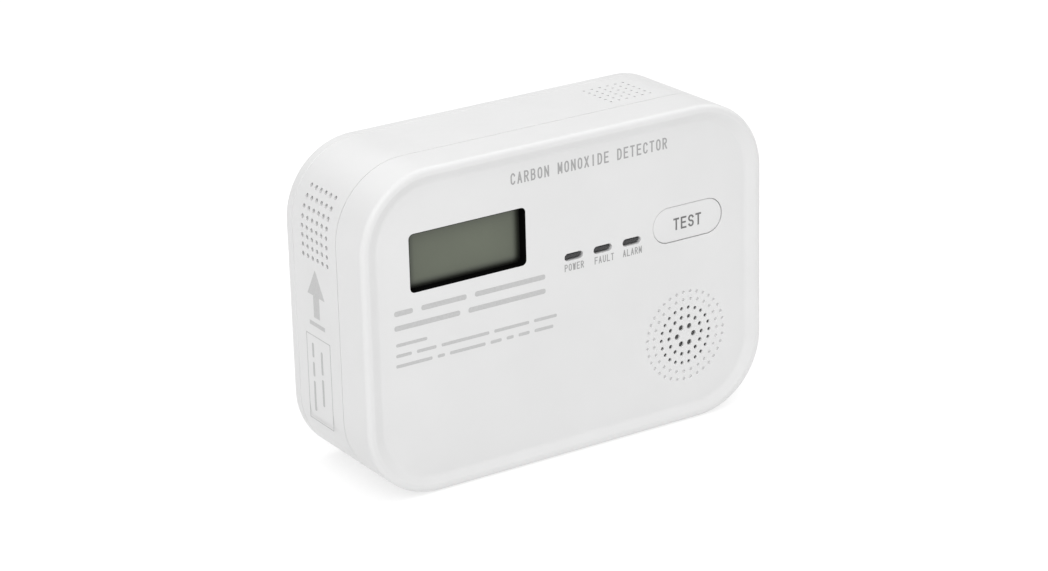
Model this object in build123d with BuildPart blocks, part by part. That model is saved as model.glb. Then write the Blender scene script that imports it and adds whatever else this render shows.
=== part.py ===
from build123d import *
import os

os.makedirs("parts", exist_ok=True)

# Carbon monoxide detector: a flat rounded box that stands on its bottom edge or
# hangs on a wall plate.  X runs across the front, Y from front to rear, Z up.
# Origin: middle of the footprint, at the height of the bottom face.
# Depths are counted from the front rim, heights from the mid-height of the front.

# ---------------------------------------------------------------- main dimensions
W = 120.0            # width over the front rim
H = 85.2             # height over the front rim
D = 38.3             # depth, front rim to the rear of the mounting plate
R = 19.9             # corner radius of the front outline
DRAFT = 0.65         # how much each side draws in from front to rear
WALL = 2.0           # wall of both casings
FRONT = -D / 2       # y of the front rim
MID = H / 2          # z of the middle of the front

PART_D = 12.8        # depth of the joint between front cover and rear case
SEAM, SEAM_IN = 0.14, 0.35    # shadow gap along that joint
CASE_D = 34.9        # depth of the rear face of the rear case
PLATE_D = 35.0       # depth of the front face of the mounting plate
REAR_WALL = CASE_D - WALL

# front panel, sunk inside a raised rim
PANEL_D = 1.2        # depth of the panel below the rim
PANEL_W, PANEL_H, PANEL_R = 109.6, 76.1, 15.5
RIM_FLAT = 1.9       # where the rim starts to slope inwards
PANEL_BACK = PANEL_D + WALL

# display
LCD_X, LCD_Z, LCD_W, LCD_H, LCD_R = -29.0, 18.7, 33.6, 15.0, 1.2
BEZEL_T = 0.12       # edge of the bezel's sleeve at the panel
GLASS_D = 3.7        # depth of the front of the display glass

# indicators and test button
LED_X = (2.1, 10.9, 19.8)
LED_Z, SLOT_L, SLOT_W = 10.25, 5.6, 2.0
BTN_X, BTN_Z, BTN_W, BTN_H = 37.25, 12.05, 21.7, 9.5
BTN_GAP = 0.15
BTN_TRAVEL = 0.6

# sounder and its grille
SND_X, SND_Z = 36.3, -19.2
RINGS = ((2.60, 6, 0.75), (5.15, 14, 0.55), (7.58, 22, 0.48))      # through holes
DIMPLES = ((9.97, 27, 0.40), (12.02, 35, 0.40))                      # blind holes
DIMPLE_DEPTH = 0.8

# vents
VENT_R, TOP_VENT_R, VENT_P = 0.6, 0.38, 2.44
VENT_D = 23.6        # depth of the middle of both vent fields
SIDE_Z = 24.9        # height of the side field
TOP_X = 31.28        # x of the top field

# circuit board
PCB_D, PCB_T = 13.0, 1.6
PCB_BACK = PCB_D + PCB_T
POSTS = ((-50.5, -8.0), (17.5, -34.0), (-30.0, 34.6), (19.0, 35.0))
BOSS_X, BOSS_Z = 50.5, 32.3

# battery bay for three AA cells lying side by side
CELL_R, CELL_L, CELL_P = 7.25, 50.5, 14.8
CELL_D = 25.1
BAY_X0, BAY_X1 = -43.75, 12.75
BAY_Z0, BAY_Z1 = -36.5, 8.3
BAY_FLOOR = 17.6
BAY_T = 1.2
CELL_Z = (0.7, -14.1, -28.9)

# battery door and its hinge
HINGE_D, HINGE_Z = 33.5, 8.2
BARREL_R, PIN_R, PIN_HOLE_R, PIN_L = 1.4, 0.90, 0.96, 1.6
DOOR_T, DOOR_GAP = 2.2, 0.25

# hooks of the mounting plate and their keyholes
HOOK_X, HOOK_Z, HOOK_TRAVEL = 52.2, (12.0, -12.0), 8.0
NECK_R, HEAD_R, HOOK_GAP = 1.5, 3.0, 0.3
WALL_HOLE_S, WALL_HOLE_Z, WALL_HOLE_R = 60.0, 31.0, 2.25


def at(depth):
    """Plane parallel to the front at a depth; x to the right, y up from mid-height.
    A negative extrusion runs to the rear."""
    return Plane(origin=(0, FRONT + depth, MID), x_dir=(1, 0, 0), z_dir=(0, -1, 0))


def outline(depth, inset=0.0):
    """Rounded outline of the casing at a depth: the sides and the top draw in
    towards the rear, the bottom stays flat."""
    t = DRAFT * depth / D
    w = W - 2 * t - 2 * inset
    top, bottom = H / 2 - t - inset, -H / 2 + inset
    with BuildSketch(at(depth)) as profile:
        with Locations((0, (top + bottom) / 2)):
            RectangleRounded(w, top - bottom, R - t - inset)
    return profile.sketch


def casing(d0, d1, inset=0.0, mode=Mode.ADD):
    """Solid between the outlines at two depths."""
    loft([outline(d0, inset), outline(d1, inset)], ruled=True, mode=mode)


def slab(x0, x1, z0, z1, d0, d1, mode=Mode.ADD, r=0.0):
    """Plain or rounded block between two depths."""
    with BuildSketch(at(d0)) as profile:
        with Locations(((x0 + x1) / 2, (z0 + z1) / 2)):
            if r:
                RectangleRounded(x1 - x0, z1 - z0, r)
            else:
                Rectangle(x1 - x0, z1 - z0)
    extrude(profile.sketch, amount=-(d1 - d0), mode=mode)


def disc(x, z, r, d0, d1, mode=Mode.ADD):
    with BuildSketch(at(d0)) as profile:
        with Locations((x, z)):
            Circle(r)
    extrude(profile.sketch, amount=-(d1 - d0), mode=mode)


def obround(x, z, length, width, d0, d1, mode=Mode.ADD):
    with BuildSketch(at(d0)) as profile:
        with Locations((x, z)):
            SlotOverall(length, width)
    extrude(profile.sketch, amount=-(d1 - d0), mode=mode)


def edges_at(part, depth):
    """Edges of a piece that lie in the plane of a depth."""
    y = FRONT + depth
    return [
        e for e in part.edges()
        if abs(e.bounding_box().min.Y - y) < 1e-3 and abs(e.bounding_box().max.Y - y) < 1e-3
    ]


def outermost(edges, depth):
    """Of the edges in a plane, those on the casing's outline."""
    t = DRAFT * depth / D
    keep = []
    for e in edges:
        c = e.center(CenterOf.BOUNDING_BOX)
        b = e.bounding_box()
        reach = max(abs(b.min.X), abs(b.max.X)) / (W / 2 - t)
        up = b.max.Z / (H - t)
        down = b.min.Z
        if reach > 0.9995 or up > 0.9995 or down < 0.01:
            keep.append(e)
    return keep


# ---------------------------------------------------------------- front cover
with BuildPart() as front_cover:
    casing(0, PART_D - SEAM)
    fillet(outermost(edges_at(front_cover.part, 0), 0), 1.35)
    casing(PART_D - SEAM, PART_D, SEAM_IN)
    # sunk panel with sloping rim
    k = 0.25
    with BuildSketch(at(-k * PANEL_D)):
        RectangleRounded(
            W - 2 * RIM_FLAT + k * (W - 2 * RIM_FLAT - PANEL_W),
            H - 2 * RIM_FLAT + k * (H - 2 * RIM_FLAT - PANEL_H),
            R - RIM_FLAT + k * (R - RIM_FLAT - PANEL_R),
        )
    with BuildSketch(at(PANEL_D)):
        RectangleRounded(PANEL_W, PANEL_H, PANEL_R)
    loft(ruled=True, mode=Mode.SUBTRACT)
    # inside
    casing(PANEL_BACK, PART_D, WALL, Mode.SUBTRACT)
    casing(PART_D - 2.1, PART_D, 1.0, Mode.SUBTRACT)
    # screw bosses and board posts
    for sx in (-1, 1):
        for sz in (-1, 1):
            disc(sx * BOSS_X, sz * BOSS_Z, 3.2, PANEL_BACK - 0.2, 13.5)
            disc(sx * BOSS_X, sz * BOSS_Z, 1.3, 5.0, 13.6, Mode.SUBTRACT)
    for x, z in POSTS:
        disc(x, z, 2.2, PANEL_BACK - 0.2, PCB_D)
        disc(x, z, 0.9, 5.0, PCB_D + 0.1, Mode.SUBTRACT)
    # collar that guides the test button's flange
    obround(BTN_X, BTN_Z, 27.6, 15.4, PANEL_BACK - 0.1, 5.4)
    obround(BTN_X, BTN_Z, 25.3, 13.1, PANEL_BACK, 5.5, Mode.SUBTRACT)
    # openings
    slab(LCD_X - LCD_W / 2 - BEZEL_T, LCD_X + LCD_W / 2 + BEZEL_T,
         LCD_Z - LCD_H / 2 - BEZEL_T, LCD_Z + LCD_H / 2 + BEZEL_T,
         0.5, PANEL_BACK + 0.1, Mode.SUBTRACT, LCD_R + BEZEL_T)
    obround(BTN_X, BTN_Z, BTN_W + 2 * BTN_GAP, BTN_H + 2 * BTN_GAP, 0.5, PANEL_BACK + 0.1, Mode.SUBTRACT)
    for x in LED_X:
        obround(x, LED_Z, SLOT_L, SLOT_W, 0.5, PANEL_BACK + 0.1, Mode.SUBTRACT)
    # sounder grille
    with BuildSketch(at(0.5)):
        for ring_r, n, hole_r in RINGS:
            with Locations((SND_X, SND_Z)):
                with PolarLocations(ring_r, n):
                    Circle(hole_r)
    extrude(amount=-3.0, mode=Mode.SUBTRACT)
    with BuildSketch(at(0.5)):
        for ring_r, n, hole_r in DIMPLES:
            with Locations((SND_X, SND_Z)):
                with PolarLocations(ring_r, n):
                    Circle(hole_r)
    extrude(amount=-(PANEL_D - 0.5 + DIMPLE_DEPTH), mode=Mode.SUBTRACT)
    # the wall is thinned behind the through holes
    disc(SND_X, SND_Z, 8.9, PANEL_D + 0.9, PANEL_BACK + 0.1, Mode.SUBTRACT)
front_cover.part.label = "front_cover"
export_step(front_cover.part, "parts/front_cover.step")

# ---------------------------------------------------------------- rear case
with BuildPart() as rear_case:
    casing(PART_D, CASE_D)
    chamfer(outermost(edges_at(rear_case.part, CASE_D), CASE_D), 0.18)
    # lip that enters the front cover
    casing(PART_D - 2.0, PART_D + 0.3, 1.1)
    casing(PART_D - 2.0, REAR_WALL, WALL, Mode.SUBTRACT)
    # side vents, drilled across the left wall
    with BuildSketch(Plane.YZ.offset(-W / 2 - 1)):
        with Locations((FRONT + VENT_D, MID + SIDE_Z)):
            with GridLocations(VENT_P, VENT_P, 6, 8):
                Circle(VENT_R)
    extrude(amount=7.6, mode=Mode.SUBTRACT)
    # top vents, drilled down through the top wall
    with BuildSketch(Plane.XY.offset(H + 0.5)):
        with Locations((TOP_X, FRONT + VENT_D)):
            with GridLocations(VENT_P, VENT_P, 6, 6):
                Circle(TOP_VENT_R)
    extrude(amount=-4.0, mode=Mode.SUBTRACT)
    # battery bay and the supports of the door hinge
    slab(BAY_X0 - BAY_T, BAY_X1 + BAY_T, BAY_Z0 - BAY_T, BAY_Z1 + BAY_T, BAY_FLOOR - BAY_T, REAR_WALL + 0.1)
    slab(BAY_X0 - 3.5, BAY_X1 + 3.5, 5.2, 11.4, 30.9, REAR_WALL + 0.1)
    slab(BAY_X0, BAY_X1, BAY_Z0, BAY_Z1, BAY_FLOOR, CASE_D + 0.1, Mode.SUBTRACT)
    slab(BAY_X0, BAY_X1, HINGE_Z - 1.7, HINGE_Z + 1.7, HINGE_D, CASE_D + 0.1, Mode.SUBTRACT)
    with BuildSketch(Plane.YZ.offset(BAY_X0)):
        with Locations((FRONT + HINGE_D, MID + HINGE_Z)):
            Circle(1.7)
    extrude(amount=BAY_X1 - BAY_X0, mode=Mode.SUBTRACT)
    with BuildSketch(Plane.YZ.offset(BAY_X0 - PIN_L - 0.15)):
        with Locations((FRONT + HINGE_D, MID + HINGE_Z)):
            Circle(PIN_HOLE_R)
    extrude(amount=BAY_X1 - BAY_X0 + 2 * (PIN_L + 0.15), mode=Mode.SUBTRACT)
    # finger scoop below the door
    obround((BAY_X0 + BAY_X1) / 2, BAY_Z0, 20.0, 5.0, CASE_D - 0.8, CASE_D + 0.1, Mode.SUBTRACT)
    # screw bosses with sunk heads
    for sx in (-1, 1):
        for sz in (-1, 1):
            disc(sx * BOSS_X, sz * BOSS_Z, 4.2, 13.6, REAR_WALL + 0.1)
            disc(sx * BOSS_X, sz * BOSS_Z, 2.9, 28.0, CASE_D + 0.1, Mode.SUBTRACT)
            disc(sx * BOSS_X, sz * BOSS_Z, 1.6, 13.5, 28.1, Mode.SUBTRACT)
    # keyholes for the plate's hooks
    for sx in (-1, 1):
        for z in HOOK_Z:
            disc(sx * HOOK_X, z - HOOK_TRAVEL, HEAD_R + HOOK_GAP, REAR_WALL - 0.1, CASE_D + 0.1, Mode.SUBTRACT)
            slab(sx * HOOK_X - NECK_R - HOOK_GAP, sx * HOOK_X + NECK_R + HOOK_GAP, z - HOOK_TRAVEL, z,
                 REAR_WALL - 0.1, CASE_D + 0.1, Mode.SUBTRACT)
            disc(sx * HOOK_X, z, NECK_R + HOOK_GAP, REAR_WALL - 0.1, CASE_D + 0.1, Mode.SUBTRACT)
rear_case.part.label = "rear_case"
export_step(rear_case.part, "parts/rear_case.step")

# ---------------------------------------------------------------- mounting plate
with BuildPart() as mounting_plate:
    casing(PLATE_D, D)
    fillet(outermost(edges_at(mounting_plate.part, D), D), 1.0)
    chamfer(outermost(edges_at(mounting_plate.part, PLATE_D), PLATE_D), 0.18)
    # window over the battery door
    slab(-46.0, 15.0, -38.0, 21.0, PLATE_D - 0.1, D + 0.1, Mode.SUBTRACT, 2.5)
    # wall screw holes with room for the heads
    for sx in (-1, 1):
        disc(sx * WALL_HOLE_S / 2, WALL_HOLE_Z, WALL_HOLE_R, PLATE_D - 0.1, D + 0.1, Mode.SUBTRACT)
        disc(sx * WALL_HOLE_S / 2, WALL_HOLE_Z, 4.6, PLATE_D - 0.1, 36.9, Mode.SUBTRACT)
    # hooks
    for sx in (-1, 1):
        for z in HOOK_Z:
            disc(sx * HOOK_X, z, NECK_R, REAR_WALL - HOOK_GAP - 0.1, PLATE_D + 0.1)
            disc(sx * HOOK_X, z, HEAD_R, REAR_WALL - HOOK_GAP - 1.4, REAR_WALL - HOOK_GAP)
mounting_plate.part.label = "mounting_plate"
export_step(mounting_plate.part, "parts/mounting_plate.step")

# ---------------------------------------------------------------- battery door
DOOR_X0, DOOR_X1 = BAY_X0 + DOOR_GAP, BAY_X1 - DOOR_GAP
DOOR_Z0 = BAY_Z0 + DOOR_GAP
DOOR_IN = CASE_D - DOOR_T
with BuildPart() as battery_door:
    slab(DOOR_X0, DOOR_X1, DOOR_Z0, HINGE_Z, DOOR_IN, CASE_D)
    with BuildSketch(Plane.YZ.offset(DOOR_X0)):
        with Locations((FRONT + HINGE_D, MID + HINGE_Z)):
            Circle(BARREL_R)
    extrude(amount=DOOR_X1 - DOOR_X0)
    with BuildSketch(Plane.YZ.offset(DOOR_X0 - PIN_L)):
        with Locations((FRONT + HINGE_D, MID + HINGE_Z)):
            Circle(PIN_R)
    extrude(amount=DOOR_X1 - DOOR_X0 + 2 * PIN_L)
    # grip pocket with three ribs, and stiffening ribs inside
    obround((DOOR_X0 + DOOR_X1) / 2, DOOR_Z0 + 5.0, 20.0, 7.0, CASE_D - 0.9, CASE_D + 0.1, Mode.SUBTRACT)
    for dz in (-1.8, 0.0, 1.8):
        obround((DOOR_X0 + DOOR_X1) / 2, DOOR_Z0 + 5.0 + dz, 14.0, 0.7, CASE_D - 1.0, CASE_D - 0.1)
    for z in CELL_Z[:2]:
        zm = z - CELL_P / 2
        slab(DOOR_X0 + 6, DOOR_X1 - 6, zm - 0.5, zm + 0.5, 30.6, DOOR_IN + 0.1)
    chamfer(battery_door.edges().filter_by(Axis.X).filter_by_position(Axis.Z, MID + DOOR_Z0 - 0.01, MID + DOOR_Z0 + 0.01), 0.3)
battery_door.part.label = "battery_door"
export_step(battery_door.part, "parts/battery_door.step")

# ---------------------------------------------------------------- test button
BTN_FLANGE = PANEL_BACK + 0.15
with BuildPart() as test_button:
    obround(BTN_X, BTN_Z, BTN_W, BTN_H, PANEL_D - 0.1, BTN_FLANGE + 1.2)
    fillet(edges_at(test_button.part, PANEL_D - 0.1), 0.35)
    obround(BTN_X, BTN_Z, 24.5, 12.3, BTN_FLANGE, BTN_FLANGE + 1.2)
    obround(BTN_X, BTN_Z, BTN_W - 2.4, BTN_H - 2.4, PANEL_D + 1.1, BTN_FLANGE + 1.3, Mode.SUBTRACT)
    disc(BTN_X, BTN_Z, 2.0, PANEL_D + 1.0, 7.97)
    slab(BTN_X - 8.5, BTN_X + 8.5, BTN_Z - 0.5, BTN_Z + 0.5, PANEL_D + 1.0, BTN_FLANGE + 1.2)
test_button.part.label = "test_button"
export_step(test_button.part, "parts/test_button.step")

# tactile switch under the button
with BuildPart() as switch_body:
    slab(BTN_X - 3, BTN_X + 3, BTN_Z - 3, BTN_Z + 3, 9.2, PCB_D, r=0.3)
    disc(BTN_X, BTN_Z, 1.9, 9.1, 11.8, Mode.SUBTRACT)
    for sx in (-1, 1):
        for sz in (-1, 1):
            slab(BTN_X + sx * 3.6 - 0.7, BTN_X + sx * 3.6 + 0.7, BTN_Z + sz * 2.25 - 0.35, BTN_Z + sz * 2.25 + 0.35,
                 PCB_D - 0.6, PCB_D)
switch_body.part.label = "switch_body"
export_step(switch_body.part, "parts/switch_body.step")

with BuildPart() as switch_plunger:
    disc(BTN_X, BTN_Z, 1.7, 8.0, 11.0)
    fillet(edges_at(switch_plunger.part, 8.0), 0.2)
switch_plunger.part.label = "switch_plunger"
export_step(switch_plunger.part, "parts/switch_plunger.step")

# ---------------------------------------------------------------- display
with BuildPart() as lcd_bezel:
    slab(LCD_X - LCD_W / 2 - BEZEL_T, LCD_X + LCD_W / 2 + BEZEL_T,
         LCD_Z - LCD_H / 2 - BEZEL_T, LCD_Z + LCD_H / 2 + BEZEL_T, PANEL_D + 0.1, PANEL_BACK + 0.1, r=LCD_R + BEZEL_T)
    slab(LCD_X - 19.4, LCD_X + 19.4, LCD_Z - 10.4, LCD_Z + 10.4, PANEL_BACK, GLASS_D, r=1.5)
    # opening, drafted towards the glass
    with BuildSketch(at(PANEL_D)) as mouth:
        with Locations((LCD_X, LCD_Z)):
            RectangleRounded(LCD_W, LCD_H, LCD_R)
    with BuildSketch(at(GLASS_D + 0.1)) as foot:
        with Locations((LCD_X, LCD_Z)):
            RectangleRounded(LCD_W - 0.4, LCD_H - 0.2, LCD_R - 0.1)
    loft([mouth.sketch, foot.sketch], ruled=True, mode=Mode.SUBTRACT)
lcd_bezel.part.label = "lcd_bezel"
export_step(lcd_bezel.part, "parts/lcd_bezel.step")

with BuildPart() as lcd_front_glass:
    slab(LCD_X - 18.2, LCD_X + 18.2, LCD_Z - 9.2, LCD_Z + 9.2, GLASS_D, GLASS_D + 1.1)
lcd_front_glass.part.label = "lcd_front_glass"
export_step(lcd_front_glass.part, "parts/lcd_front_glass.step")

with BuildPart() as lcd_rear_glass:
    slab(LCD_X - 18.2, LCD_X + 18.2, LCD_Z - 7.3, LCD_Z + 7.3, GLASS_D + 1.1, GLASS_D + 2.2)
lcd_rear_glass.part.label = "lcd_rear_glass"
export_step(lcd_rear_glass.part, "parts/lcd_rear_glass.step")

with BuildPart() as lcd_reflector:
    slab(LCD_X - 17.8, LCD_X + 17.8, LCD_Z - 7.2, LCD_Z + 7.2, GLASS_D + 2.2, GLASS_D + 2.4)
lcd_reflector.part.label = "lcd_reflector"
export_step(lcd_reflector.part, "parts/lcd_reflector.step")

with BuildPart() as lcd_holder:
    slab(LCD_X - 19.4, LCD_X + 19.4, LCD_Z - 10.4, LCD_Z + 10.4, GLASS_D, PCB_D, r=1.5)
    slab(LCD_X - 18.3, LCD_X + 18.3, LCD_Z - 9.3, LCD_Z + 9.3, GLASS_D - 0.1, GLASS_D + 2.5, Mode.SUBTRACT)
    slab(LCD_X - 18.3, LCD_X + 18.3, LCD_Z - 9.3, LCD_Z + 9.3, GLASS_D + 3.7, PCB_D + 0.1, Mode.SUBTRACT)
    for sz in (-1, 1):
        slab(LCD_X - 17.2, LCD_X + 17.2, LCD_Z + sz * 8.25 - 0.95, LCD_Z + sz * 8.25 + 0.95,
             GLASS_D + 2.0, GLASS_D + 4.0, Mode.SUBTRACT)
lcd_holder.part.label = "lcd_holder"
export_step(lcd_holder.part, "parts/lcd_holder.step")

with BuildPart() as lcd_connectors:
    for sz in (-1, 1):
        slab(LCD_X - 17.0, LCD_X + 17.0, LCD_Z + sz * 8.25 - 0.8, LCD_Z + sz * 8.25 + 0.8, GLASS_D + 1.1, PCB_D)
lcd_connectors.part.label = "lcd_connectors"
export_step(lcd_connectors.part, "parts/lcd_connectors.step")

# ---------------------------------------------------------------- indicators
with BuildPart() as light_shroud:
    slab(-1.2, 23.2, LED_Z - 2.6, LED_Z + 2.6, PANEL_BACK, 12.4, r=0.6)
    for x in LED_X:
        obround(x, LED_Z, SLOT_L, SLOT_W, PANEL_BACK - 0.1, 12.5, Mode.SUBTRACT)
light_shroud.part.label = "light_shroud"
export_step(light_shroud.part, "parts/light_shroud.step")

with BuildPart() as guide_power:
    obround(LED_X[0], LED_Z, SLOT_L - 0.5, SLOT_W - 0.5, 1.9, 11.5)
    fillet(edges_at(guide_power.part, 1.9), 0.3)
    obround(LED_X[0], LED_Z, SLOT_L, SLOT_W, 5.0, 8.0)
guide_power.part.label = "light_guide_power"
export_step(guide_power.part, "parts/light_guide_power.step")

with BuildPart() as guide_fault:
    obround(LED_X[1], LED_Z, SLOT_L - 0.5, SLOT_W - 0.5, 1.9, 11.5)
    fillet(edges_at(guide_fault.part, 1.9), 0.3)
    obround(LED_X[1], LED_Z, SLOT_L, SLOT_W, 5.0, 8.0)
guide_fault.part.label = "light_guide_fault"
export_step(guide_fault.part, "parts/light_guide_fault.step")

with BuildPart() as guide_alarm:
    obround(LED_X[2], LED_Z, SLOT_L - 0.5, SLOT_W - 0.5, 1.9, 11.5)
    fillet(edges_at(guide_alarm.part, 1.9), 0.3)
    obround(LED_X[2], LED_Z, SLOT_L, SLOT_W, 5.0, 8.0)
guide_alarm.part.label = "light_guide_alarm"
export_step(guide_alarm.part, "parts/light_guide_alarm.step")

with BuildPart() as led_power:
    slab(LED_X[0] - 1.6, LED_X[0] + 1.6, LED_Z - 0.75, LED_Z + 0.75, 12.1, PCB_D)
    slab(LED_X[0] - 1.0, LED_X[0] + 1.0, LED_Z - 0.65, LED_Z + 0.65, 11.7, 12.2)
led_power.part.label = "led_power"
export_step(led_power.part, "parts/led_power.step")

with BuildPart() as led_fault:
    slab(LED_X[1] - 1.6, LED_X[1] + 1.6, LED_Z - 0.75, LED_Z + 0.75, 12.1, PCB_D)
    slab(LED_X[1] - 1.0, LED_X[1] + 1.0, LED_Z - 0.65, LED_Z + 0.65, 11.7, 12.2)
led_fault.part.label = "led_fault"
export_step(led_fault.part, "parts/led_fault.step")

with BuildPart() as led_alarm:
    slab(LED_X[2] - 1.6, LED_X[2] + 1.6, LED_Z - 0.75, LED_Z + 0.75, 12.1, PCB_D)
    slab(LED_X[2] - 1.0, LED_X[2] + 1.0, LED_Z - 0.65, LED_Z + 0.65, 11.7, 12.2)
led_alarm.part.label = "led_alarm"
export_step(led_alarm.part, "parts/led_alarm.step")

# ---------------------------------------------------------------- sounder
with BuildPart() as grille_cloth:
    disc(SND_X, SND_Z, 13.0, PANEL_BACK, PANEL_BACK + 0.3)
grille_cloth.part.label = "grille_cloth"
export_step(grille_cloth.part, "parts/grille_cloth.step")

with BuildPart() as sounder_gasket:
    disc(SND_X, SND_Z, 15.2, PANEL_BACK, PANEL_BACK + 1.0)
    disc(SND_X, SND_Z, 13.1, PANEL_BACK - 0.1, PANEL_BACK + 1.1, Mode.SUBTRACT)
sounder_gasket.part.label = "sounder_gasket"
export_step(sounder_gasket.part, "parts/sounder_gasket.step")

with BuildPart() as sounder_housing:
    disc(SND_X, SND_Z, 15.2, PANEL_BACK + 1.0, PCB_D - 0.2)
    disc(SND_X, SND_Z, 14.0, PANEL_BACK + 0.9, 8.3, Mode.SUBTRACT)
    disc(SND_X, SND_Z, 12.4, 8.2, PCB_D - 1.4, Mode.SUBTRACT)
    for sx in (-1, 1):
        disc(SND_X + sx * 6.0, SND_Z, 0.7, 11.0, PCB_D, Mode.SUBTRACT)
sounder_housing.part.label = "sounder_housing"
export_step(sounder_housing.part, "parts/sounder_housing.step")

with BuildPart() as piezo_disc:
    disc(SND_X, SND_Z, 13.5, 8.0, 8.3)
piezo_disc.part.label = "piezo_disc"
export_step(piezo_disc.part, "parts/piezo_disc.step")

with BuildPart() as piezo_ceramic:
    disc(SND_X, SND_Z, 9.0, 7.75, 8.0)
piezo_ceramic.part.label = "piezo_ceramic"
export_step(piezo_ceramic.part, "parts/piezo_ceramic.step")

with BuildPart() as sounder_leads:
    for sx in (-1, 1):
        disc(SND_X + sx * 6.0, SND_Z, 0.45, 8.3, PCB_D)
sounder_leads.part.label = "sounder_leads"
export_step(sounder_leads.part, "parts/sounder_leads.step")

# ---------------------------------------------------------------- circuit board
SENS_X, SENS_Z = 32.5, 23.0
with BuildPart() as main_board:
    slab(-54, 54, -38, 38, PCB_D, PCB_BACK)
    for sx in (-1, 1):
        for sz in (-1, 1):
            slab(sx * 49.75 - 4.75, sx * 49.75 + 4.75, sz * 32.75 - 5.75, sz * 32.75 + 5.75, PCB_D - 0.1, PCB_BACK + 0.1,
                 Mode.SUBTRACT)
    for x, z in POSTS:
        disc(x, z, 1.2, PCB_D - 0.1, PCB_BACK + 0.1, Mode.SUBTRACT)
    for dx, dz in ((0, 6.5), (-5.6, -3.25), (5.6, -3.25)):
        disc(SENS_X + dx, SENS_Z + dz, 0.6, PCB_D - 0.1, PCB_BACK + 0.1, Mode.SUBTRACT)
main_board.part.label = "main_board"
export_step(main_board.part, "parts/main_board.step")

with BuildPart() as board_screws:
    for x, z in POSTS:
        disc(x, z, 2.0, PCB_BACK, PCB_BACK + 1.3)
        disc(x, z, 0.9, 7.0, PCB_BACK + 0.1)
        slab(x - 1.3, x + 1.3, z - 0.25, z + 0.25, PCB_BACK + 0.7, PCB_BACK + 1.4, Mode.SUBTRACT)
        slab(x - 0.25, x + 0.25, z - 1.3, z + 1.3, PCB_BACK + 0.7, PCB_BACK + 1.4, Mode.SUBTRACT)
board_screws.part.label = "board_screws"
export_step(board_screws.part, "parts/board_screws.step")

with BuildPart() as microcontroller:
    slab(-27, -17, 19, 29, PCB_BACK + 0.1, PCB_BACK + 1.5)
    for k in range(8):
        o = (k - 3.5) * 1.1
        slab(-28.2, -15.8, 24 + o - 0.2, 24 + o + 0.2, PCB_BACK, PCB_BACK + 0.25)
        slab(-22 + o - 0.2, -22 + o + 0.2, 17.8, 30.2, PCB_BACK, PCB_BACK + 0.25)
microcontroller.part.label = "microcontroller"
export_step(microcontroller.part, "parts/microcontroller.step")

with BuildPart() as crystal:
    obround(-40, 17.5, 11.0, 4.6, PCB_BACK, PCB_BACK + 0.5)
    obround(-40, 17.5, 10.2, 3.8, PCB_BACK + 0.5, PCB_BACK + 3.5)
crystal.part.label = "crystal"
export_step(crystal.part, "parts/crystal.step")

with BuildPart() as boost_coil:
    disc(9.0, 25.0, 4.6, PCB_BACK, PCB_BACK + 1.4)
    disc(9.0, 25.0, 3.6, PCB_BACK + 1.4, PCB_BACK + 7.0)
    disc(9.0, 25.0, 4.6, PCB_BACK + 7.0, PCB_BACK + 8.4)
boost_coil.part.label = "boost_coil"
export_step(boost_coil.part, "parts/boost_coil.step")

with BuildPart() as reservoir_capacitor:
    disc(-5.0, 28.0, 4.0, PCB_BACK, PCB_BACK + 11.5)
    fillet(edges_at(reservoir_capacitor.part, PCB_BACK + 11.5), 0.5)
reservoir_capacitor.part.label = "reservoir_capacitor"
export_step(reservoir_capacitor.part, "parts/reservoir_capacitor.step")

with BuildPart() as chip_components:
    for x, z, w, h in ((-34, 26, 2.0, 1.25), (-34, 29, 2.0, 1.25), (-12, 20, 1.25, 2.0), (-12, 24, 1.25, 2.0),
                       (-9, 18, 2.0, 1.25), (2, 18, 3.2, 1.6), (2, 32, 2.0, 1.25), (16, 20, 1.6, 3.2),
                       (46, 20, 1.25, 2.0), (46, 15, 1.25, 2.0), (28, -4, 3.2, 1.6), (28, -8, 2.0, 1.25),
                       (34, -4, 2.0, 1.25), (40, -10, 4.0, 2.6), (22, -16, 2.0, 1.25), (48, -12, 2.0, 1.25)):
        slab(x - w / 2, x + w / 2, z - h / 2, z + h / 2, PCB_BACK, PCB_BACK + 0.7)
chip_components.part.label = "chip_components"
export_step(chip_components.part, "parts/chip_components.step")

# ---------------------------------------------------------------- gas sensor
with BuildPart() as co_sensor_body:
    disc(SENS_X, SENS_Z, 9.6, PCB_BACK + 0.8, 27.0)
    disc(SENS_X, SENS_Z, 8.4, 27.0, 28.4)
co_sensor_body.part.label = "co_sensor_body"
export_step(co_sensor_body.part, "parts/co_sensor_body.step")

with BuildPart() as co_sensor_cap:
    disc(SENS_X, SENS_Z, 9.6, 27.0, 30.4)
    disc(SENS_X, SENS_Z, 8.4, 26.9, 28.4, Mode.SUBTRACT)
    disc(SENS_X, SENS_Z, 7.0, 28.3, 29.4, Mode.SUBTRACT)
    fillet([e for e in edges_at(co_sensor_cap.part, 30.4) if e.length > 50], 0.6)
    with BuildSketch(at(29.3)):
        with Locations((SENS_X, SENS_Z)):
            with PolarLocations(4.0, 6):
                Circle(0.9)
        with Locations((SENS_X, SENS_Z)):
            Circle(1.2)
    extrude(amount=-1.2, mode=Mode.SUBTRACT)
co_sensor_cap.part.label = "co_sensor_cap"
export_step(co_sensor_cap.part, "parts/co_sensor_cap.step")

with BuildPart() as co_sensor_pins:
    for dx, dz in ((0, 6.5), (-5.6, -3.25), (5.6, -3.25)):
        disc(SENS_X + dx, SENS_Z + dz, 0.5, PCB_D - 0.6, PCB_BACK + 0.8)
co_sensor_pins.part.label = "co_sensor_pins"
export_step(co_sensor_pins.part, "parts/co_sensor_pins.step")

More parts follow.
